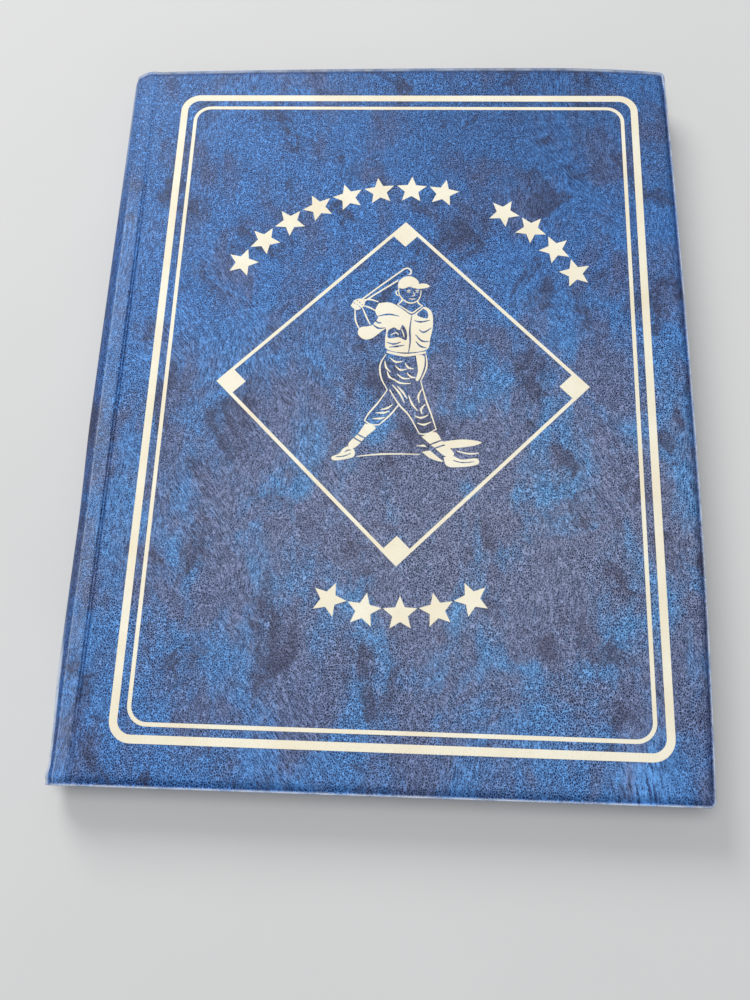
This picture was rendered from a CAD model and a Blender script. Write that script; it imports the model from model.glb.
import math

import bmesh
import bpy
import numpy as np
from mathutils import Matrix, Vector


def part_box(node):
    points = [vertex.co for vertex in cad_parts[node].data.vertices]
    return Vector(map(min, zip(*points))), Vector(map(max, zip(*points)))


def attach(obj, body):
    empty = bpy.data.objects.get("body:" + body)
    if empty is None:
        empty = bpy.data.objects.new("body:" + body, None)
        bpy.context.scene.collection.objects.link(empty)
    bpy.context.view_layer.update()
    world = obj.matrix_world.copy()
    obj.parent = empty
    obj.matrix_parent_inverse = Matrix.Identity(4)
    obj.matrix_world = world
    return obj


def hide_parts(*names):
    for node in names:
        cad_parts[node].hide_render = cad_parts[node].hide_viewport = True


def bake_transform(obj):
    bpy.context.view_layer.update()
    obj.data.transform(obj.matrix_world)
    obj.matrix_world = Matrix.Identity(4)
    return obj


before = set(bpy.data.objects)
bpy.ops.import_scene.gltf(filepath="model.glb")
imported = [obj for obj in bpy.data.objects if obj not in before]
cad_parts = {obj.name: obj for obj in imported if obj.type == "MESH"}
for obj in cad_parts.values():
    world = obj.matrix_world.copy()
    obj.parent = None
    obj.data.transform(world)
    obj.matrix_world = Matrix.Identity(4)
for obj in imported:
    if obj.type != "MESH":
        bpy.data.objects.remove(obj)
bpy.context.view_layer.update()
MM = 0.001

# ---- places, from the frame ----

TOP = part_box("front_cover_vinyl")[1].z
MID = TOP / 2
HALF_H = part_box("front_cover_vinyl")[1].y
FORE_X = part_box("front_cover_vinyl")[1].x
SPINE_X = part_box("spine_wrap_middle")[0].x
CREASE_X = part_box("front_hinge_seam")[0].x
LINER_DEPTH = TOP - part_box("front_liner")[1].z
LINER_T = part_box("front_liner")[1].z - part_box("front_liner")[0].z
VINYL_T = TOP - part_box("front_cover_vinyl")[0].z
SEAM_W = FORE_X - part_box("front_board")[1].x
LINER_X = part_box("front_liner")[0].x
BOARD_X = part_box("front_board")[0].x
HINGE_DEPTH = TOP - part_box("front_hinge_seam")[0].z
WRAP_DEPTH = CREASE_X - SPINE_X
PAGES = range(1, 11)


# ---- the vinyl skin: a surface that is unrolled along s, round the spine and over a cover ----

def arc_table(a, b, steps=400):
    """Angles round the quarter ellipse from the spine's outermost line to the crease, with arc lengths."""
    angle = np.linspace(0, math.pi / 2, steps)
    x = -a * np.cos(angle)
    z = b * np.sin(angle)
    length = np.concatenate([[0], np.cumsum(np.hypot(np.diff(x), np.diff(z)))])
    return angle, length


ARC_ANGLE, ARC_LENGTH = arc_table(WRAP_DEPTH, MID)
CREASE_S = ARC_LENGTH[-1]
FORE_S = CREASE_S + FORE_X - CREASE_X
LINER_S = CREASE_S + LINER_X - CREASE_X
BOARD_S = CREASE_S + BOARD_X - CREASE_X


def skin_base(s):
    """Place and outward normal, in X and Z, of the skin at distance s from the spine's outermost line."""
    angle = np.interp(s, ARC_LENGTH, ARC_ANGLE)
    x = CREASE_X - WRAP_DEPTH * np.cos(angle) + np.maximum(s - CREASE_S, 0)
    z = MID + MID * np.sin(angle)
    nx = -np.cos(angle) / WRAP_DEPTH
    nz = np.sin(angle) / MID
    size = np.hypot(nx, nz)
    return x, z, nx / size, nz / size


def smooth_step(value, low, high):
    """0 at low and before it, 1 at high and past it; low may be the larger."""
    t = np.clip((value - low) / (high - low), 0, 1)
    return t * t * (3 - 2 * t)


# Depth of the skin below its flat face, in mm, at distances in mm from a free edge: a thin lip, a
# pressed groove and a round shoulder up onto the board
EDGE_AT = [0, 0.12, 0.35, 0.6, 0.85, 1.15, 1.5, 1.85, 2.2, 2.6, 3.1, 3.6, 4.5, 6]
EDGE_DEPTH = [1.1, 0.92, 0.84, 0.88, 1.15, 1.38, 1.15, 0.88, 0.62, 0.37, 0.18, 0.07, 0.02, 0]
CORNER_R = 2.4 * MM
# The share of that depth that the spine's ends have, and where it starts to grow to the covers' full
# depth
WRAP_EDGE_SHARE = 0.42
WRAP_EDGE_FROM = CREASE_S - 4 * MM
# Places across the skin, as distances from the crease: the two sealed lines and the shallow valley they
# lie in
GROOVES_AT, GROOVE_W, GROOVE_DEPTH = (-0.1 * MM, 0.95 * MM), 0.3 * MM, 0.34 * MM
VALLEY_AT, VALLEY_W, VALLEY_SHARE = 0.5 * MM, 2 * MM, 0.5
# Where the sealed lines start and stop fading towards the head and the foot, and how much they lose
LINES_HEAD, LINES_HEAD_LOSS = (30 * MM, HALF_H - 12 * MM), 0.8
LINES_FOOT, LINES_FOOT_LOSS = (112 * MM, HALF_H - 8 * MM), 0.6


def bump_line(value, at, width):
    """1 at a place, falling off on both sides of it."""
    return np.exp(-((value - at) / width) ** 2)


def edge_depth(distance, s):
    share = WRAP_EDGE_SHARE + (1 - WRAP_EDGE_SHARE) * smooth_step(s, WRAP_EDGE_FROM, BOARD_S)
    return np.interp(distance / MM, EDGE_AT, EDGE_DEPTH) * MM * share


def hinge_lines(s, y):
    """The fine heat-sealed lines beside the spine, which fade towards the head and the foot."""
    lines = sum(bump_line(s - CREASE_S, at, GROOVE_W) for at in GROOVES_AT)
    head, foot = smooth_step(y, *LINES_HEAD), smooth_step(-y, *LINES_FOOT)
    return lines * (1 - LINES_HEAD_LOSS * head - LINES_FOOT_LOSS * foot)


def groove_depth(s, y):
    valley = VALLEY_SHARE * bump_line(s - CREASE_S, VALLEY_AT, VALLEY_W)
    return (hinge_lines(s, y) + valley) * GROOVE_DEPTH


def round_corners(s, y):
    """Bends the grid's corners at the fore edge into arcs, each ring still at its distance from the edge."""
    a = s - (FORE_S - CORNER_R)
    b = np.abs(y) - (HALF_H - CORNER_R)
    inside = (a > 0) & (b > 0)
    reach = np.maximum(a, b)
    low = np.minimum(a, b) / np.where(reach > 0, reach, 1)
    angle = np.where(b <= a, low * math.pi / 4, math.pi / 2 - low * math.pi / 4)
    s = np.where(inside, FORE_S - CORNER_R + reach * np.cos(angle), s)
    y = np.where(inside, np.sign(y) * (HALF_H - CORNER_R + reach * np.sin(angle)), y)
    return s, y


# How far each worn edge bulges from end to end, how far its ends draw in, where the bulge peaks, and
# how wide a margin of the cover moves with it
FORE_BULGE, FORE_SINK, FORE_PEAK, FORE_MARGIN = 2.4 * MM, 1.9 * MM, -35 * MM, 16 * MM
HEAD_BULGE, HEAD_SINK, HEAD_PEAK, END_MARGIN = 2.6 * MM, 0.1 * MM, 65 * MM, 14 * MM
# The foot slants: how far, and where it crosses the straight outline, as a share of the fore edge's X
FOOT_TILT, FOOT_LEVEL = 0.4 * MM, 0.3
# How far the spine sinks in its lower half and near its foot, how far its very foot comes back out, and
# between which distances below the middle each of these comes on
SLACK_LOW, SLACK_FROM = 1.05 * MM, (10 * MM, 60 * MM)
PINCH, PINCH_FROM = 1.25 * MM, (112 * MM, 140 * MM)
FLARE, FLARE_FROM = 0.8 * MM, (146 * MM, 149.5 * MM)
# How far the head end of the spine stands up past the head of the covers, and how wide that nub is
NUB, NUB_W = 1.3 * MM, 7 * MM


def arch(at, peak, half):
    """1 at the peak, 0 at both ends."""
    reach = np.where(at > peak, half - peak, half + peak)
    return 1 - np.clip((at - peak) / reach, -1, 1) ** 2


def slack(y):
    """How far the spine has sunk in: low down, more near the foot, and less at the flared foot itself."""
    low, pinch, flare = (smooth_step(-y, *ends) for ends in (SLACK_FROM, PINCH_FROM, FLARE_FROM))
    return SLACK_LOW * low + PINCH * pinch - FLARE * flare


def wear_shape(x, y, s):
    """Moves the straight outline to the used album's: bulged edges and a sunken spine."""
    fore = FORE_BULGE * arch(y, FORE_PEAK, HALF_H) - FORE_SINK
    head = HEAD_BULGE * arch(x, HEAD_PEAK, FORE_X) - HEAD_SINK
    foot = FOOT_TILT * (x / FORE_X - FOOT_LEVEL)
    new_x = x + fore * smooth_step(s, FORE_S - FORE_MARGIN, FORE_S)
    new_x = new_x + slack(y) * smooth_step(s, CREASE_S, 0)
    head = head + NUB * smooth_step(s, NUB_W, 0)
    new_y = y + head * smooth_step(y, HALF_H - END_MARGIN, HALF_H)
    new_y = new_y + foot * smooth_step(-y, HALF_H - END_MARGIN, HALF_H)
    return new_x, new_y


# The spine's fold, a pale line with the darker, rounded side of the spine beyond it, and the width that
# is rubbed pale along the spine's outermost line
FOLD_AT, FOLD_W = 9.3 * MM, 0.4 * MM
RUB_W = 4.2 * MM
# Where the grid has its lines: beside a free edge, each side of a narrow line in half-widths of it, and
# over the rub
EDGE_RINGS = np.array(EDGE_AT + [9, 14]) * MM
HALF_WIDTHS = range(-5, 6)
RUB_SHARES = (0.5, 1, 1.15, 1.3, 1.5, 1.6)
GRID_STEP = 6 * MM
LEAST_GAP = 0.05 * MM


def tidy_lines(lines, low, high):
    """Sorted, with no two lines closer than the least gap."""
    kept = [low]
    for v in sorted(lines):
        if v - kept[-1] > LEAST_GAP and high - v > LEAST_GAP:
            kept.append(v)
    return np.array(kept + [high])


def s_lines(low, high, free=False, step=GRID_STEP):
    """Grid lines across: close together at the sealed lines, the fold, the rub and a free edge."""
    lines = list(np.arange(low, high, step)) + [high]
    fine = [CREASE_S + at + k * GROOVE_W / 2 for at in GROOVES_AT for k in HALF_WIDTHS]
    fine += [FOLD_AT + k * FOLD_W / 2 for k in HALF_WIDTHS]
    fine += [RUB_W * share for share in RUB_SHARES]
    lines += [v for v in fine if low < v < high]
    if free:
        lines += [high - ring for ring in EDGE_RINGS]
    return tidy_lines(lines, low, high)


def y_lines(step=GRID_STEP):
    """Grid lines along, close together beside the head and the foot."""
    lines = list(np.linspace(-HALF_H, HALF_H, int(2 * HALF_H / step)))
    for side in (-1, 1):
        lines += [side * (HALF_H - ring) for ring in EDGE_RINGS]
    return tidy_lines(lines, -HALF_H, HALF_H)


def grid_faces(rows, columns, first=0, flip=False):
    """The quads of a grid whose vertices run along each row in turn, from the first vertex on."""
    faces = []
    for i in range(rows - 1):
        for j in range(columns - 1):
            a = first + i * columns + j
            quad = (a, a + columns, a + columns + 1, a + 1)
            faces.append(quad[::-1] if flip else quad)
    return faces


def rim_faces(rows, columns):
    """Quads that close the gap between two grids, one after the other, along their outer edges."""
    ring = list(range(columns))
    ring += [i * columns + columns - 1 for i in range(1, rows)]
    ring += [(rows - 1) * columns + j for j in range(columns - 2, -1, -1)]
    ring += [i * columns for i in range(rows - 2, 0, -1)]
    under = rows * columns
    pairs = zip(ring, ring[1:] + ring[:1])
    return [(a, b, b + under, a + under) for a, b in pairs]


SHARP_ANGLE = 40


def new_piece(name, vertices, faces, materials, face_materials=None):
    """Makes an object of these faces, smooth but for its sharp edges, and puts it in the scene."""
    mesh = bpy.data.meshes.new(name)
    mesh.from_pydata([tuple(v) for v in vertices], [], [tuple(f) for f in faces])
    mesh.validate()
    for material in materials:
        mesh.materials.append(material)
    if face_materials is not None:
        mesh.polygons.foreach_set("material_index", face_materials)
    mesh.shade_smooth()
    mesh.set_sharp_from_angle(angle=math.radians(SHARP_ANGLE))
    piece = bpy.data.objects.new(name, mesh)
    bpy.context.scene.collection.objects.link(piece)
    return piece


def give_attribute(piece, name, values):
    """Stores one number or one vector for each vertex, which the materials read."""
    values = np.asarray(values, float)
    kind = "FLOAT" if values.ndim == 1 else "FLOAT_VECTOR"
    key = "value" if values.ndim == 1 else "vector"
    attribute = piece.data.attributes.new(name, kind, "POINT")
    attribute.data.foreach_set(key, values.ravel())


# Where the spine's rub, its bare fold and its shade start and end: below and above the middle
LOW_WEAR, HIGH_WEAR = (80 * MM, 115 * MM), (70 * MM, 110 * MM)
# How strong each is: the rub low and high on the spine, the fold, the strip beside it, and the shade
RUB_LOW, RUB_HIGH, FOLD_PALE, BESIDE_PALE, SPINE_SHADE = 0.85, 0.3, 0.3, 0.09, 0.6
# How much wider the rub is low on the spine, how much of the shade is lost high on it, and the width of
# each fade
RUB_SPREAD, SHADE_LOSS = 0.3, 0.85
RUB_FADE, BESIDE_FADES, SHADE_FADES = 1.2 * MM, (1 * MM, 2 * MM), (1.5 * MM, 2 * MM)


def spine_wear(s, y):
    """How rubbed pale the spine is at its ends, its fold and beside it, and how dark its rounded side is."""
    low, high = smooth_step(-y, *LOW_WEAR), smooth_step(y, *HIGH_WEAR)
    rub_w = RUB_W * (1 + RUB_SPREAD * low)
    ends = (RUB_LOW * low + RUB_HIGH * high) * smooth_step(s, rub_w + RUB_FADE, rub_w)
    fold = FOLD_PALE * bump_line(s, FOLD_AT, FOLD_W)
    beside = smooth_step(s, FOLD_AT, FOLD_AT + BESIDE_FADES[0])
    beside = beside * smooth_step(s, CREASE_S, CREASE_S - BESIDE_FADES[1])
    shade = smooth_step(s, FOLD_AT, FOLD_AT - SHADE_FADES[0])
    shade = shade * smooth_step(s, rub_w * low, rub_w * low + SHADE_FADES[1])
    pale = np.maximum(ends, (fold + BESIDE_PALE * beside) * (1 - high))
    return pale, SPINE_SHADE * shade * (1 - SHADE_LOSS * high)


# The pale lip and the dark pressed line inside a free edge, in mm from it, and how much further in both
# lie along the head
LIP_AT, LIP_W = 0.25, 0.34
PRESS_AT, PRESS_W = 1.15, 0.33
HEAD_SHIFT = 0.5
# Where the bands at the head and the foot come on, and how much weaker the line is in each
END_BAND = (HALF_H - 8 * MM, HALF_H - 4 * MM)
PRESS_HEAD_LOSS, PRESS_FOOT_LOSS = 0.2, 0.6
# The round shoulder's outer and inner fades, its shade at the head and elsewhere, and where the latter
# dies out
SHOULDER_OUTER, SHOULDER_INNER = (4 * MM, 2.4 * MM), (0.9 * MM, 1.6 * MM)
SHADE_HEAD, SHADE_SIDE, SHADE_SIDE_ENDS = 0.55, 0.17, (90 * MM, 20 * MM)


def edge_wear(edge, y):
    """How pale a free edge's lip is, and how dark the pressed line and the round shoulder inside it are."""
    head, foot = smooth_step(y, *END_BAND), smooth_step(-y, *END_BAND)
    lip = bump_line(edge / MM, LIP_AT + HEAD_SHIFT * head, LIP_W)
    line = bump_line(edge / MM, PRESS_AT + HEAD_SHIFT * head, PRESS_W)
    line = line * (1 - PRESS_HEAD_LOSS * head - PRESS_FOOT_LOSS * foot)
    shoulder = smooth_step(edge, *SHOULDER_OUTER) * smooth_step(edge, *SHOULDER_INNER)
    shade = SHADE_HEAD * head + SHADE_SIDE * smooth_step(y, *SHADE_SIDE_ENDS)
    return lip, np.maximum(line, shoulder * shade)


HINGE_PRESS = 0.75


def skin_piece(name, s_at, y_at, front, inner_depth, materials):
    """A closed piece of the vinyl between the grid's lines: its outer face, its inner face and its rim."""
    s, y = (v.ravel() for v in np.meshgrid(s_at, y_at, indexing="ij"))
    edge = np.minimum(HALF_H - np.abs(y), np.maximum(FORE_S - s, 0))
    outer_depth = edge_depth(edge, s) + groove_depth(s, y)
    under_depth = inner_depth(s, edge, outer_depth)
    s_real, y_real = round_corners(s, y)
    x, z, nx, nz = skin_base(s_real)
    x, y_worn = wear_shape(x, y_real, s_real)

    def face_points(depth):
        height = z - nz * depth
        return np.stack([x - nx * depth, y_worn, height if front else TOP - height], 1)

    vertices = np.concatenate([face_points(outer_depth), face_points(under_depth)])
    rows, columns = len(s_at), len(y_at)
    count = rows * columns
    outer = grid_faces(rows, columns, 0, not front)
    under = grid_faces(rows, columns, count, front)
    rim = rim_faces(rows, columns)
    if front:
        rim = [f[::-1] for f in rim]
    index = [0] * len(outer) + [1] * len(under) + [0] * len(rim)
    piece = new_piece(name, vertices, outer + under + rim, materials, index)
    side = 1 if front else -1
    sheet = np.stack([side * s_real, y_real, np.zeros(count)], 1)
    give_attribute(piece, "sheet", np.concatenate([sheet, sheet]))
    bead, press = edge_wear(edge, y)
    rubbed, shade = spine_wear(s, y)
    bead = np.maximum(bead, rubbed)
    press = np.maximum(np.maximum(press, shade), HINGE_PRESS * hinge_lines(s, y))
    give_attribute(piece, "bead", np.concatenate([bead, bead]))
    give_attribute(piece, "press", np.concatenate([press, press]))
    return piece


# The skin's least thickness, and the spine's welded thickness at its ends and where it comes on
THINNEST = 0.3 * MM
WELDED_T, WELDED_ENDS = 0.8 * MM, (5 * MM, 2 * MM)


def panel_inner(s, edge, outer_depth):
    """Thin at the hinge, welded to the lining round the edges, and a sheet over the board elsewhere."""
    board = (s >= BOARD_S) & (edge >= SEAM_W)
    depth = np.where(board, VINYL_T, np.where(s < LINER_S, HINGE_DEPTH, LINER_DEPTH))
    return np.maximum(depth, outer_depth + THINNEST)


def wrap_inner(s, edge, outer_depth):
    """The spine's two layers are welded into one thickness at its ends, and lie loose between them."""
    thickness = VINYL_T + (WELDED_T - VINYL_T) * smooth_step(edge, *WELDED_ENDS)
    return np.maximum(thickness, outer_depth + THINNEST)


# The inner layers of a cover: their grid's step, the margin that an inset draws in, and the place,
# width and depth of the line pressed inside the lining's edge
LAYER_STEP, INSET_MARGIN = 8 * MM, 30 * MM
LINER_PRESS_AT, LINER_PRESS_W, LINER_PRESS = 1.4 * MM, 0.5 * MM, 0.12 * MM


def sheet_of_cover(name, s_from, inset, front, depths, material, pressed=0.0):
    """A flat layer of a cover between two depths, cut to the cover's bowed outline less an inset."""
    s_at, y_at = s_lines(s_from, FORE_S, free=True, step=LAYER_STEP), y_lines(LAYER_STEP)
    s, y = (v.ravel() for v in np.meshgrid(s_at, y_at, indexing="ij"))
    edge = np.minimum(HALF_H - np.abs(y), FORE_S - s)
    line = pressed * bump_line(edge, LINER_PRESS_AT, LINER_PRESS_W)
    s_real, y_real = round_corners(s, y)
    x, y_real = wear_shape(skin_base(s_real)[0], y_real, s_real)
    x = x - inset * smooth_step(s, FORE_S - INSET_MARGIN, FORE_S)
    y_real = y_real * (1 - inset / HALF_H)
    layers = []
    for depth in (np.full_like(line, depths[0]), depths[1] - line):
        height = TOP - depth
        layers.append(np.stack([x, y_real, height if front else TOP - height], 1))
    rows, columns = len(s_at), len(y_at)
    outer = grid_faces(rows, columns, 0, not front)
    under = grid_faces(rows, columns, rows * columns, front)
    rim = [f[::-1] for f in rim_faces(rows, columns)] if front else rim_faces(rows, columns)
    return new_piece(name, np.concatenate(layers), outer + under + rim, [material])


# ---- card pages: a frosted backing and clear pocket sheets that swell a little between their welds ----

POCKETS_ACROSS = 3
POCKETS_DOWN = 3
WELD_W = 2.5 * MM
SLOT_H = 3.5 * MM
# A page's two waves: their height and the first one's share of it, then the radians per metre of each
# wave across and along, and the radians by which each is shifted from page to page
RIPPLE, FIRST_SHARE = 0.05 * MM, 0.65
FIRST_WAVE, FIRST_SHIFT = (38, 29), (2.1, 1.3)
SECOND_WAVE, SECOND_SHIFT = (17, 71), 0.7
# The backing's grid, and the strip by its root that stays flat
BACKING_GRID, ROOT_STRIP = (48, 60), 20 * MM
# Grid lines of a pocket, in mm from the weld on its left, as shares of the weld at its foot, and above
# that
POCKET_X = [0.4, 1.2, 2.5, 4, 6, 10, 20, 33.75, 47.5, 57.5, 61.5, 63.5, 65, 66.3, 67.1]
WELD_SHARES, FOOT_SHARES = (0, 0.5, 1), (0, 0.5, 1, 1.3, 1.8, 2.6, 4)
POCKET_Y_FROM, POCKET_Y_COUNT = 14 * MM, 14
# A pocket's swell: its rise beside a side weld and above its foot, the share of it that the weld itself
# has, and how much and over what height it drops again towards the open lip
SWELL_SIDE, SWELL_FOOT, WELD_SWELL = 5 * MM, 6 * MM, 0.1
LIP_DROP, LIP_DROP_H = 0.35, 30 * MM
# Puckers beside the side welds: their height as a share of the pocket's rise, their radians per metre
# across and along, and their width
PUCKER, PUCKER_WAVE, PUCKER_W = 0.1, (90, 700), 3 * MM
# The milky welds: how high their foot and their top are over the backing, and how far their ribs rise
# and lie apart
WELD_FOOT, WELD_RISE, RIB_RISE, RIB_STEP = 0.02 * MM, 0.27 * MM, 0.05 * MM, 1.1 * MM


def ripple(x, y, page):
    """A page is never quite flat: two slow waves, different on each page."""
    first = np.sin(x * FIRST_WAVE[0] + page * FIRST_SHIFT[0])
    first = first * np.cos(y * FIRST_WAVE[1] - page * FIRST_SHIFT[1])
    second = np.sin(y * SECOND_WAVE[1] + page * SECOND_SHIFT + x * SECOND_WAVE[0])
    return RIPPLE * (FIRST_SHARE * first + (1 - FIRST_SHARE) * second)


def pocket_layout(page):
    """The corners of a page's pocket sheet, the height of its backing and the pitch of its pockets."""
    low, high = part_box(f"leaf_{page}_pockets")
    floor_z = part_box(f"leaf_{page}_seams")[0].z
    pitch_x = (high.x - low.x - WELD_W) / POCKETS_ACROSS
    pitch_y = (high.y - low.y + SLOT_H) / POCKETS_DOWN
    return low, high, floor_z, pitch_x, pitch_y


def closed_sheet(name, x_at, y_at, low, high, material):
    """A closed sheet between two height fields over the grid's lines."""
    x, y = (v.ravel() for v in np.meshgrid(x_at, y_at, indexing="ij"))
    upper = np.stack([x, y, high(x, y)], 1)
    lower = np.stack([x, y, low(x, y)], 1)
    rows, columns = len(x_at), len(y_at)
    faces = grid_faces(rows, columns) + grid_faces(rows, columns, rows * columns, True)
    faces += [f[::-1] for f in rim_faces(rows, columns)]
    return new_piece(name, np.concatenate([upper, lower]), faces, [material])


def page_backing(page, material):
    """A page's one full-size sheet, which carries its pockets."""
    low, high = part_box(f"leaf_{page}_backing")

    def level(z):
        return lambda x, y: z + ripple(x, y, page) * smooth_step(x, low.x, low.x + ROOT_STRIP)

    x_at = np.linspace(low.x, high.x, BACKING_GRID[0])
    y_at = np.linspace(low.y, high.y, BACKING_GRID[1])
    piece = closed_sheet(f"page_{page}_backing", x_at, y_at, level(low.z), level(high.z), material)
    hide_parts(f"leaf_{page}_backing")
    return piece


def pocket_sheet(page, row, material):
    """One row of pockets: a clear sheet, welded at its foot and between pockets, and open along its top."""
    low, high, floor_z, pitch_x, pitch_y = pocket_layout(page)
    foot = low.y + row * pitch_y
    lip = foot + pitch_y - SLOT_H
    film = high.z - low.z
    x_at = [low.x + column * pitch_x + WELD_W * share
            for column in range(POCKETS_ACROSS + 1) for share in WELD_SHARES]
    for column in range(POCKETS_ACROSS):
        x_at += list(low.x + column * pitch_x + WELD_W + np.array(POCKET_X) * MM)
    y_at = [foot + WELD_W * share for share in FOOT_SHARES]
    y_at += list(np.linspace(foot + POCKET_Y_FROM, lip, POCKET_Y_COUNT))

    def top(x, y):
        across = (x - low.x) % pitch_x
        inside = np.minimum(across - WELD_W, pitch_x - across)
        swell = smooth_step(inside, 0, SWELL_SIDE) * smooth_step(y - foot - WELD_W, 0, SWELL_FOOT)
        swell = swell * (1 - LIP_DROP * smooth_step(y, lip - LIP_DROP_H, lip))
        wave = np.sin(y * PUCKER_WAVE[1] + x * PUCKER_WAVE[0] + page)
        pucker = PUCKER * wave * bump_line(inside, 0, PUCKER_W) * (inside > 0)
        rise = (low.z - floor_z) * (WELD_SWELL + (1 - WELD_SWELL) * swell + pucker)
        return floor_z + film + rise + ripple(x, y, page)

    x_at = tidy_lines(x_at, low.x, high.x)
    y_at = tidy_lines(y_at, foot, lip)
    name = f"page_{page}_pocket_row_{row + 1}"
    return closed_sheet(name, x_at, y_at, lambda x, y: top(x, y) - film, top, material)


def seam_strips(page, material):
    """The milky, ribbed welds of a page: a strip under each row's foot and between its pockets."""
    low, high, floor_z, pitch_x, pitch_y = pocket_layout(page)
    vertices, faces = [], []

    def strip(x0, x1, y0, y1):
        along_x = x1 - x0 > y1 - y0
        length = x1 - x0 if along_x else y1 - y0
        steps = max(2, int(length / RIB_STEP))
        first = len(vertices)
        for k in range(steps + 1):
            rise = WELD_RISE + (RIB_RISE if k % 2 else 0)
            share = k / steps
            a = (x0 + share * (x1 - x0), y0) if along_x else (x0, y0 + share * (y1 - y0))
            b = (a[0], y1) if along_x else (x1, a[1])
            for place in (a, b):
                z = floor_z + float(ripple(place[0], place[1], page))
                vertices.append((*place, z + WELD_FOOT))
                vertices.append((*place, z + rise))
        for k in range(steps):
            i = first + 4 * k
            j = i + 4
            ring = [(i, i + 2, j + 2, j), (i + 1, j + 1, j + 3, i + 3),
                    (i, j, j + 1, i + 1), (i + 2, i + 3, j + 3, j + 2)]
            faces.extend(ring if along_x else [f[::-1] for f in ring])
        ends = [(first, first + 1, first + 3, first + 2)]
        last = first + 4 * steps
        ends.append((last, last + 2, last + 3, last + 1))
        faces.extend(ends if along_x else [f[::-1] for f in ends])

    for row in range(POCKETS_DOWN):
        foot = low.y + row * pitch_y
        strip(low.x, high.x, foot, foot + WELD_W)
        for column in range(POCKETS_ACROSS + 1):
            x0 = low.x + column * pitch_x
            strip(x0, x0 + WELD_W, foot + WELD_W, foot + pitch_y - SLOT_H)
    return new_piece(f"page_{page}_welds", vertices, faces, [material])


def build_page(page, film, frosted, weld):
    """One leaf: its backing, its three rows of pockets and the welds between them."""
    backing = page_backing(page, frosted)
    rows = [pocket_sheet(page, row, film) for row in range(POCKETS_DOWN)]
    welds = seam_strips(page, weld)
    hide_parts(f"leaf_{page}_pockets")
    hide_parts(f"leaf_{page}_seams")
    for piece in [backing, welds, *rows]:
        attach(piece, f"leaf_{page}")


# ---- materials ----

def srgb(red, green, blue):
    """A colour given as it looks on a screen, 0 to 255, as Blender's linear values."""
    def linear(value):
        value /= 255
        return value / 12.92 if value <= 0.04045 else ((value + 0.055) / 1.055) ** 2.4
    return linear(red), linear(green), linear(blue), 1.0


class Nodes:
    """A new material whose nodes are added and joined one call at a time."""

    def __init__(self, name):
        self.material = bpy.data.materials.new(name)
        self.material.use_nodes = True
        self.tree = self.material.node_tree
        self.shader = self.tree.nodes["Principled BSDF"]

    def put(self, socket, value):
        """Joins a node's output to a socket, or sets a plain value on it."""
        if isinstance(value, bpy.types.NodeSocket):
            self.tree.links.new(value, socket)
        else:
            socket.default_value = value

    def add(self, kind, inputs, output=0, **settings):
        node = self.tree.nodes.new("ShaderNode" + kind)
        for key, value in settings.items():
            setattr(node, key, value)
        for key, value in inputs.items():
            self.put(node.inputs[key], value)
        return node.outputs[output]

    def math(self, operation, first, second=0.0, third=0.0):
        return self.add("Math", {0: first, 1: second, 2: third}, operation=operation)

    def stretch(self, vector, x, y, z=1.0):
        return self.add("Mapping", {"Vector": vector, "Scale": (x, y, z)})

    def noise(self, vector, scale, detail=2.0, rough=0.5, distort=0.0):
        inputs = {"Vector": vector, "Scale": scale, "Detail": detail, "Roughness": rough}
        return self.add("TexNoise", {**inputs, "Distortion": distort})

    def span(self, value, low, high, to_low=0.0, to_high=1.0):
        inputs = {"Value": value, "From Min": low, "From Max": high, "To Min": to_low, "To Max": to_high}
        return self.add("MapRange", inputs, interpolation_type="SMOOTHSTEP")

    def mix(self, share, first, second, blend="MIX"):
        inputs = {0: share, 6: first, 7: second}
        return self.add("Mix", inputs, 2, data_type="RGBA", blend_type=blend)

    def bump(self, height, distance, strength=1.0, normal=None):
        inputs = {"Height": height, "Distance": distance, "Strength": strength}
        if normal is not None:
            inputs["Normal"] = normal
        return self.add("Bump", inputs)

    def finish(self, **sockets):
        for name, value in sockets.items():
            self.put(self.shader.inputs[name.replace("_", " ")], value)
        return self.material


PER_MM = 1000.0


def sheet_place(nodes):
    """Millimetres on the unrolled skin, so the grain runs on round the spine without a break."""
    place = nodes.add("Attribute", {}, 1, attribute_name="sheet")
    return nodes.stretch(place, PER_MM, PER_MM, PER_MM)


def flat_place(nodes):
    """The same millimetres for a CAD piece that lies flat on the front cover."""
    place = nodes.add("TexCoord", {}, 3)
    shift = (CREASE_S - CREASE_X, 0, 0)
    moved = nodes.add("VectorMath", {0: place, 1: shift}, operation="ADD")
    return nodes.stretch(moved, PER_MM, PER_MM, 0)


def ridge_net(nodes, place, across, along, width):
    """Raised ridges round cells: 1 on a ridge, 0 in a cell."""
    cells = nodes.stretch(place, across, along)
    edge = nodes.add("TexVoronoi", {"Vector": cells, "Scale": 1.0}, feature="DISTANCE_TO_EDGE")
    return nodes.span(edge, 0.0, width, 1, 0)


def object_place(nodes):
    """Millimetres in the piece's own frame."""
    return nodes.stretch(nodes.add("TexCoord", {}, 3), PER_MM, PER_MM, PER_MM)


def turned(nodes, place, angle, offset=0.0):
    """The place turned about Z and moved, so that one pattern can be laid more than one way."""
    inputs = {"Vector": place, "Rotation": (0, 0, angle), "Location": (offset, offset, 0)}
    return nodes.add("Mapping", inputs)


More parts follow.
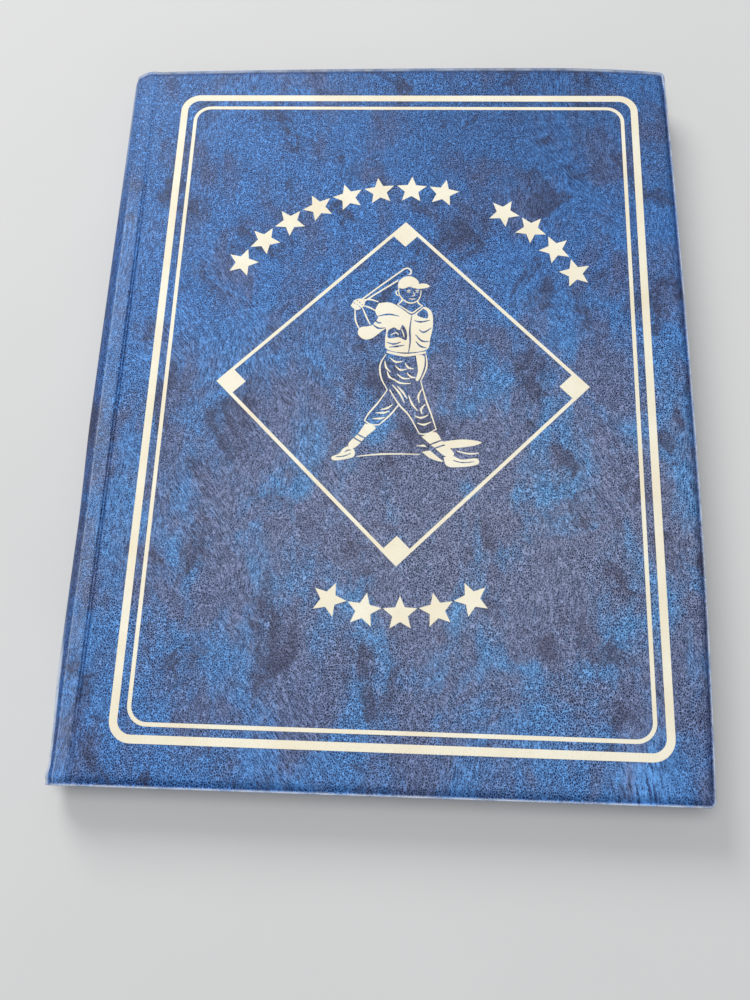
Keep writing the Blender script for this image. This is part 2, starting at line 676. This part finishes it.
def soft_spot(nodes, place, spot):
    """1 at the centre of a spot on the front of the sheet, falling smoothly to 0 at its rim."""
    x, y, half_x, half_y = spot
    run = (CREASE_S - CREASE_X) / MM
    away = nodes.add("VectorMath", {0: place, 1: (-x - run, -y, 0)}, operation="ADD")
    squeezed = nodes.stretch(away, 1 / half_x, 1 / half_y)
    reach = nodes.add("VectorMath", {0: squeezed}, 1, operation="LENGTH")
    return nodes.span(reach, 0, 1, 1, 0)


# The leather's nets: cells per mm across and along, and the width of a ridge as a share of a cell
GRAIN, CREASES, WRINKLES = (1.5, 1.1, 0.2), (1.25, 0.13, 0.2), (0.9, 0.08, 0.34)
# The warp of the nets: its scale per mm, and how far it moves them, in mm
WARP_SCALE, WARP = 0.8, 1.2
# The creases' turns, how far apart each turn's pattern is moved, and the patches that they lie in
CREASE_TURNS, CREASE_MOVE = (0.08, -0.62), 20.0
CREASE_PATCH, CREASE_RANGE, CREASE_SHARE = (0.035, 0.02), (0.52, 0.66), 0.5
# Wrinkles that rise from the foot near the fore corner: their turn and strength, and the centre and
# half-widths of their place, in mm on the cover
WRINKLE_TURN, WRINKLE_SHARE = -0.16, 0.75
WRINKLED_SPOT = (92, -148, 17, 36)
# Soft unevenness of the ridges, per mm across and along, its range, and how low the weakest of them is
UNEVEN, UNEVEN_RANGE, UNEVEN_LOW = (0.9, 0.6), (0.36, 0.58), 0.58


def leather_ridges(nodes, place):
    """A fine net of ridges round small pits, drawn out along soft creases: 1 on a ridge, 0 in a pit."""
    warp = nodes.add("TexNoise", {"Vector": place, "Scale": WARP_SCALE, "Detail": 2.0}, 1)
    push = nodes.add("VectorMath", {0: warp, "Scale": WARP}, operation="SCALE")
    warped = nodes.add("VectorMath", {0: place, 1: push}, operation="ADD")
    ridge = ridge_net(nodes, warped, *GRAIN)
    for number, angle in enumerate(CREASE_TURNS):
        along = turned(nodes, warped, angle, CREASE_MOVE * number)
        lines = ridge_net(nodes, along, *CREASES)
        patch = nodes.noise(nodes.stretch(along, *CREASE_PATCH), 1.0, 2.0, 0.5)
        ridge = nodes.add("Mix", {0: nodes.span(patch, *CREASE_RANGE, 0, CREASE_SHARE), 2: ridge, 3: lines})
    wrinkles = ridge_net(nodes, turned(nodes, warped, WRINKLE_TURN), *WRINKLES)
    wrinkled = nodes.math("MULTIPLY", soft_spot(nodes, place, WRINKLED_SPOT), WRINKLE_SHARE)
    ridge = nodes.add("Mix", {0: wrinkled, 2: ridge, 3: wrinkles})
    uneven = nodes.noise(nodes.stretch(warped, *UNEVEN), 1.0, 3.0, 0.65)
    return nodes.math("MULTIPLY", ridge, nodes.span(uneven, *UNEVEN_RANGE, UNEVEN_LOW, 1))


# The vinyl's colours, each on its ridges and in its pits
BRIGHT_RIDGE, BRIGHT_PIT = srgb(96, 168, 250), srgb(6, 33, 86)
DULL_RIDGE, DULL_PIT = srgb(118, 139, 192), srgb(14, 28, 60)
MURKY_RIDGE, MURKY_PIT = srgb(80, 92, 132), srgb(22, 30, 56)
WORN_EDGE = srgb(204, 214, 228)
DEEP_LINE = srgb(22, 34, 66)
PRESSED_TINT = srgb(112, 132, 168)
FADED_TINT = (2.1, 1.57, 1.14, 1)
# Centre and half-widths, in mm on the cover, of the most faded and of the darkest part
FADED_SPOT = (40, -60, 230, 130)
DARK_SPOT, DARK_SHARE = (55, 135, 115, 110), 0.3
# The mottling: its patterns, per mm across and along, and where and how strongly each one shows
CLOUD, STREAK, STREAK_SHARE = (0.04, 0.03), (0.16, 0.03), 0.25
DULL_RANGE, DULL_SHARES, DULL_MORE = (0.45, 0.64), (0.04, 0.92), 0.12
BLOTCH, BLOTCH_RANGE, BLOTCH_SHARE = (0.046, 0.036), (0.54, 0.64), 0.8
RUB, RUB_RANGE, RUB_LEAST = (0.12, 0.12), (0.38, 0.6), 0.5
# Relief: the pattern of the sheet's slow sway, and the heights of the sway and of the grain
SWAY, SWAY_H, GRAIN_H = (0.05, 0.035), 0.5 * MM, 0.1 * MM
# How rough the pits are, how much smoother the ridges are, and how much rougher dull patches are
VINYL_ROUGH, RIDGE_GLOSS, DULL_ROUGH = 0.5, -0.12, 0.08


def mottled(nodes, place, ridge):
    """The vinyl's colour before wear (bright blue, greyer patches, murky blotches) and how dull it is."""
    cloud = nodes.noise(nodes.stretch(place, *CLOUD), 1.0, 5.0, 0.62, 0.5)
    streak = nodes.noise(nodes.stretch(place, *STREAK), 1.0, 3.0, 0.6)
    patch = nodes.math("MULTIPLY", cloud, 1 - STREAK_SHARE)
    patch = nodes.math("MULTIPLY_ADD", streak, STREAK_SHARE, patch)
    faded_here = soft_spot(nodes, place, FADED_SPOT)
    patch = nodes.math("MULTIPLY_ADD", faded_here, DULL_MORE, patch)
    dull = nodes.span(patch, *DULL_RANGE, *DULL_SHARES)
    blotch = nodes.noise(nodes.stretch(place, *BLOTCH), 1.0, 6.0, 0.68, 0.6)
    blotch = nodes.math("MULTIPLY", nodes.span(blotch, *BLOTCH_RANGE), BLOTCH_SHARE)
    dark = nodes.math("MULTIPLY", soft_spot(nodes, place, DARK_SPOT), DARK_SHARE)
    bright = nodes.mix(ridge, BRIGHT_PIT, BRIGHT_RIDGE)
    faded = nodes.mix(ridge, DULL_PIT, DULL_RIDGE)
    murky = nodes.mix(ridge, MURKY_PIT, MURKY_RIDGE)
    colour = nodes.mix(dull, bright, faded)
    colour = nodes.mix(blotch, colour, murky)
    colour = nodes.mix(dark, colour, DEEP_LINE)
    return nodes.mix(faded_here, colour, FADED_TINT, "MULTIPLY"), dull


def cover_vinyl():
    """Antiqued blue vinyl: mottled ridges over dark pits, pale on rubbed beads and dark in pressed lines."""
    nodes = Nodes("cover_vinyl")
    place = sheet_place(nodes)
    ridge = leather_ridges(nodes, place)
    colour, dull = mottled(nodes, place, ridge)
    bead = nodes.add("Attribute", {}, 2, attribute_name="bead")
    press = nodes.add("Attribute", {}, 2, attribute_name="press")
    rub = nodes.noise(nodes.stretch(place, *RUB), 1.0, 4.0, 0.7)
    rub = nodes.span(rub, *RUB_RANGE, RUB_LEAST, 1)
    colour = nodes.mix(nodes.math("MULTIPLY", bead, rub), colour, WORN_EDGE)
    colour = nodes.mix(press, colour, PRESSED_TINT, "MULTIPLY")
    sway = nodes.noise(nodes.stretch(place, *SWAY), 1.0, 2.0, 0.5)
    relief = nodes.bump(sway, SWAY_H, 0.5)
    relief = nodes.bump(ridge, GRAIN_H, 0.8, relief)
    rough = nodes.math("MULTIPLY_ADD", dull, DULL_ROUGH, VINYL_ROUGH)
    rough = nodes.math("MULTIPLY_ADD", ridge, RIDGE_GLOSS, rough)
    return nodes.finish(Base_Color=colour, Roughness=rough, Normal=relief, Specular_IOR_Level=0.28)


FOIL_PALE, FOIL_WARM, FOIL_WORN = srgb(240, 235, 214), srgb(234, 224, 196), srgb(150, 165, 190)
# The foil's slow change of tint and its specks, per mm, and how much of a speck is worn through
FOIL_TINT, SPECK, SPECK_RANGE, SPECK_SHARE = (0.04, 0.04), (2.2, 1.7), (0.6, 0.7), 0.7
FOIL_GRAIN_H = 0.06 * MM


def gold_foil():
    """Pale hot-stamped print: it takes the vinyl's grain and is worn through in fine specks."""
    nodes = Nodes("foil")
    place = flat_place(nodes)
    ridge = leather_ridges(nodes, place)
    tint = nodes.noise(nodes.stretch(place, *FOIL_TINT), 1.0, 3.0, 0.6)
    colour = nodes.mix(nodes.span(tint, 0.3, 0.7), FOIL_PALE, FOIL_WARM)
    speck = nodes.noise(nodes.stretch(place, *SPECK), 1.0, 2.0, 0.6)
    worn = nodes.math("MULTIPLY", nodes.span(speck, *SPECK_RANGE), nodes.span(ridge, 0.0, 0.5, 1, 0.2))
    colour = nodes.mix(nodes.math("MULTIPLY", worn, SPECK_SHARE), colour, FOIL_WORN)
    relief = nodes.bump(ridge, FOIL_GRAIN_H, 0.6)
    rough = nodes.span(speck, 0.2, 0.8, 0.42, 0.6)
    return nodes.finish(Base_Color=colour, Roughness=rough, Normal=relief)


LINING_DARK, LINING_LIGHT, LINING_PIT = srgb(34, 50, 92), srgb(44, 62, 108), srgb(24, 36, 70)


def lining_vinyl():
    """Plain navy vinyl with a fine, even matt grain."""
    nodes = Nodes("lining_vinyl")
    place = object_place(nodes)
    pebble = nodes.add("TexVoronoi", {"Vector": place, "Scale": 1.8})
    cloud = nodes.noise(nodes.stretch(place, 0.03, 0.03, 0.03), 1.0, 4.0, 0.6)
    colour = nodes.mix(nodes.span(cloud, 0.3, 0.7), LINING_DARK, LINING_LIGHT)
    colour = nodes.mix(nodes.span(pebble, 0.1, 0.7, 0, 0.3), colour, LINING_PIT)
    rough = nodes.span(cloud, 0.3, 0.7, 0.42, 0.55)
    return nodes.finish(Base_Color=colour, Roughness=rough, Normal=nodes.bump(pebble, 0.05 * MM, 0.5))


FILM_HAZE = srgb(208, 219, 232)
WAVE_H, GRIT_H = 0.8 * MM, 0.02 * MM


def film_material(name, colour, alpha, rough, ribbed=0.0):
    """Clear or frosted vinyl film: thin, glossy, faintly hazed in clouds; ribbed makes its grit higher."""
    nodes = Nodes(name)
    place = object_place(nodes)
    haze = nodes.noise(nodes.stretch(place, 0.05, 0.04, 0.05), 1.0, 4.0, 0.6)
    wave = nodes.noise(nodes.stretch(place, 0.04, 0.07, 0.04), 1.0, 2.0, 0.5, 0.8)
    grit = nodes.noise(place, 1.6, 2.0, 0.6)
    tint = nodes.mix(nodes.span(haze, 0.3, 0.7), colour, FILM_HAZE)
    cover = nodes.math("MULTIPLY_ADD", nodes.span(haze, 0.35, 0.75), 0.08, alpha)
    relief = nodes.bump(wave, WAVE_H, 0.5)
    relief = nodes.bump(grit, GRIT_H + ribbed, 0.4, relief)
    gloss = nodes.span(haze, 0.3, 0.7, rough, rough + 0.1)
    return nodes.finish(Base_Color=tint, Alpha=cover, Roughness=gloss, Normal=relief)


BOARD_DARK, BOARD_LIGHT = srgb(122, 116, 106), srgb(168, 160, 146)
TAPE_DARK, TAPE_LIGHT, TAPE_LINT = srgb(24, 27, 36), srgb(62, 68, 84), srgb(96, 100, 112)


def chipboard():
    """Grey-brown board with long fibres."""
    nodes = Nodes("chipboard")
    place = object_place(nodes)
    fibre = nodes.noise(nodes.stretch(place, 0.5, 2.2, 2.2), 1.0, 4.0, 0.7)
    colour = nodes.mix(nodes.span(fibre, 0.3, 0.7), BOARD_DARK, BOARD_LIGHT)
    relief = nodes.bump(fibre, 0.1 * MM, 0.6)
    return nodes.finish(Base_Color=colour, Roughness=0.9, Normal=relief)


def woven_tape():
    """Dark cotton binding tape: threads over and under each other."""
    nodes = Nodes("woven_tape")
    place = object_place(nodes)
    inputs = {"Vector": place, "Scale": 0.9, "Distortion": 0.4}
    waves = [nodes.add("TexWave", inputs, 1, bands_direction=axis) for axis in ("Y", "Z")]
    weave = nodes.math("MULTIPLY", *waves)
    lint = nodes.noise(place, 0.7, 3.0, 0.6)
    colour = nodes.mix(nodes.span(weave, 0.0, 0.8), TAPE_DARK, TAPE_LIGHT)
    colour = nodes.mix(nodes.span(lint, 0.5, 0.75, 0, 0.4), colour, TAPE_LINT)
    return nodes.finish(Base_Color=colour, Roughness=0.85, Normal=nodes.bump(weave, 0.15 * MM, 0.7))


def dress(node, material):
    """Gives a shown CAD node its finished material."""
    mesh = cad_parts[node].data
    mesh.materials.clear()
    mesh.materials.append(material)


# ---- the room: pale floor, soft light, camera ----

FLOOR_SIZE = 30
FLOOR_DARK, FLOOR_LIGHT = srgb(206, 206, 205), srgb(212, 212, 211)


def make_floor():
    """A plain pale floor, with only the faintest cloud in it."""
    nodes = Nodes("floor")
    place = nodes.add("TexCoord", {}, 3)
    cloud = nodes.noise(place, 9.0, 3.0, 0.5)
    colour = nodes.mix(cloud, FLOOR_DARK, FLOOR_LIGHT)
    relief = nodes.bump(cloud, 0.2 * MM, 0.2)
    material = nodes.finish(Base_Color=colour, Roughness=0.9, Normal=relief, Specular_IOR_Level=0.1)
    bpy.ops.mesh.primitive_plane_add(size=FLOOR_SIZE)
    floor = bpy.context.object
    floor.name = "floor"
    floor.data.materials.append(material)


# Name, place, target, width, power and colour of each light
LIGHTS = (
    ("ceiling", (-0.15, 0.0, 1.4), (0, 0, 0), 0.9, 9.5, (1.0, 0.985, 0.96)),
    ("window", (-0.9, 1.5, 1.1), (0, 0.05, 0), 1.0, 28, (1.0, 0.99, 0.97)),
)
SKY_COLOUR, SKY_STRENGTH = (0.86, 0.9, 1.0, 1), 0.36


def soft_light(name, place, target, size, power, colour):
    """A round area light that faces its target."""
    data = bpy.data.lights.new(name, "AREA")
    data.shape = "DISK"
    data.size = size
    data.energy = power
    data.color = colour
    light = bpy.data.objects.new(name, data)
    light.location = place
    light.rotation_mode = "QUATERNION"
    light.rotation_quaternion = (Vector(target) - Vector(place)).to_track_quat("-Z", "Y")
    bpy.context.scene.collection.objects.link(light)


def make_lights():
    for light in LIGHTS:
        soft_light(*light)
    world = bpy.data.worlds.new("room")
    world.use_nodes = True
    sky = world.node_tree.nodes["Background"].inputs
    sky["Color"].default_value = SKY_COLOUR
    sky["Strength"].default_value = SKY_STRENGTH
    bpy.context.scene.world = world
    bpy.context.scene.view_settings.view_transform = "Standard"


# The camera's place and target in metres, its roll in degrees, and its lens and sensor width in mm
CAMERA_AT = (0.013, -0.1424, 0.3344)
CAMERA_LOOK = (-0.0026, -0.0462, 0.0155)
CAMERA_ROLL = 2.13
CAMERA_LENS, CAMERA_SENSOR = 31.77, 36


def make_camera():
    """A camera that looks down on the front cover from near its foot, rolled a little."""
    data = bpy.data.cameras.new("camera")
    data.lens = CAMERA_LENS
    data.sensor_width = CAMERA_SENSOR
    camera = bpy.data.objects.new("camera", data)
    ahead = (Vector(CAMERA_LOOK) - Vector(CAMERA_AT)).normalized()
    right = ahead.cross(Vector((0, 1, 0))).normalized()
    up = right.cross(ahead)
    turn = Matrix.Rotation(math.radians(-CAMERA_ROLL), 3, ahead)
    right, up = turn @ right, turn @ up
    axes = Matrix((right, up, -ahead)).transposed()
    camera.matrix_world = Matrix.Translation(CAMERA_AT) @ axes.to_4x4()
    bpy.context.scene.collection.objects.link(camera)
    bpy.context.scene.camera = camera


# ---- the album ----

SIDES = (("front", True), ("back", False))


def build_covers(vinyl, lining):
    """The vinyl and the lining of both covers."""
    for name, front in SIDES:
        skin = skin_piece(f"{name}_cover_skin", s_lines(CREASE_S, FORE_S, free=True), y_lines(), front,
                          panel_inner, [vinyl, lining])
        depths = (LINER_DEPTH, LINER_DEPTH + LINER_T)
        inner = sheet_of_cover(f"{name}_cover_lining", LINER_S, 0, front, depths, lining, LINER_PRESS)
        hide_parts(f"{name}_cover_vinyl", f"{name}_edge_seam", f"{name}_hinge_seam")
        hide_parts(f"{name}_liner")
        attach(skin, f"{name}_cover")
        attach(inner, f"{name}_cover")


# The pieces inside the spine are pushed in with its wrap: fully at the strip's face, not at all at the
# leaves' roots
ROOT_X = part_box("leaf_stubs")[1].x
STRIP_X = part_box("spine_strip")[0].x
CORE_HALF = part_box("leaf_stubs")[1].y
CORE_STEP = 6 * MM
# Within this distance a vertex counts as lying on a cut
ON_PLANE = 1e-7


def build_core_piece(node, material):
    """A piece from inside the spine, no taller than the leaves and pushed in where the spine has sunk."""
    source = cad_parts[node]
    cut = bmesh.new()
    cut.from_mesh(source.data)
    cut.transform(source.matrix_world)
    for v in cut.verts:
        v.co.y = max(min(v.co.y, CORE_HALF), -CORE_HALF)
    for y in np.arange(CORE_STEP - CORE_HALF, CORE_HALF, CORE_STEP):
        everything = cut.verts[:] + cut.edges[:] + cut.faces[:]
        bmesh.ops.bisect_plane(cut, geom=everything, dist=ON_PLANE, plane_co=(0, y, 0), plane_no=(0, 1, 0))
    for v in cut.verts:
        share = (ROOT_X - v.co.x) / (ROOT_X - STRIP_X)
        v.co.x += float(slack(v.co.y)) * share
    mesh = bpy.data.meshes.new(node + "_sunk")
    cut.to_mesh(mesh)
    cut.free()
    mesh.materials.append(material)
    piece = bpy.data.objects.new(node + "_sunk", mesh)
    bpy.context.scene.collection.objects.link(piece)
    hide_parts(node)
    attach(piece, "spine")


BOARD_INSET = SEAM_W + 0.4 * MM


def build_boards(material):
    """The chipboard that stiffens each cover, cut to the shape that its vinyl leaves for it."""
    for name, front in SIDES:
        board = sheet_of_cover(f"{name}_cover_board", BOARD_S, BOARD_INSET, front,
                               (VINYL_T, LINER_DEPTH), material)
        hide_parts(f"{name}_board")
        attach(board, f"{name}_cover")


WRAP_STEPS = (0.4 * MM, 3 * MM)


def build_spine(vinyl, lining):
    """The rounded spine in two halves, each of which bends between the spine and its cover."""
    for name, front in SIDES:
        s_at, y_at = s_lines(0, CREASE_S, step=WRAP_STEPS[0]), y_lines(WRAP_STEPS[1])
        wrap = skin_piece(f"spine_skin_{name}", s_at, y_at, front, wrap_inner, [vinyl, lining])
        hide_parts(f"spine_wrap_{name}")
        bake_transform(wrap)
        if front:
            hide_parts("spine_wrap_middle")


vinyl = cover_vinyl()
lining = lining_vinyl()
foil = gold_foil()
clear = film_material("clear_film", srgb(226, 232, 238), 0.12, 0.1)
frosted = film_material("frosted_film", srgb(222, 228, 234), 0.42, 0.3)
weld = film_material("weld", srgb(232, 237, 242), 0.7, 0.35, 0.05 * MM)
tape = woven_tape()
board = chipboard()

build_covers(vinyl, lining)
build_spine(vinyl, lining)
for page in PAGES:
    build_page(page, clear, frosted, weld)
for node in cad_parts:
    if node.startswith("foil_"):
        dress(node, foil)
build_boards(board)
build_core_piece("spine_strip", board)
build_core_piece("binding_tape", tape)
build_core_piece("leaf_stubs", frosted)
build_core_piece("stub_spacers", weld)

make_floor()
make_lights()
make_camera()
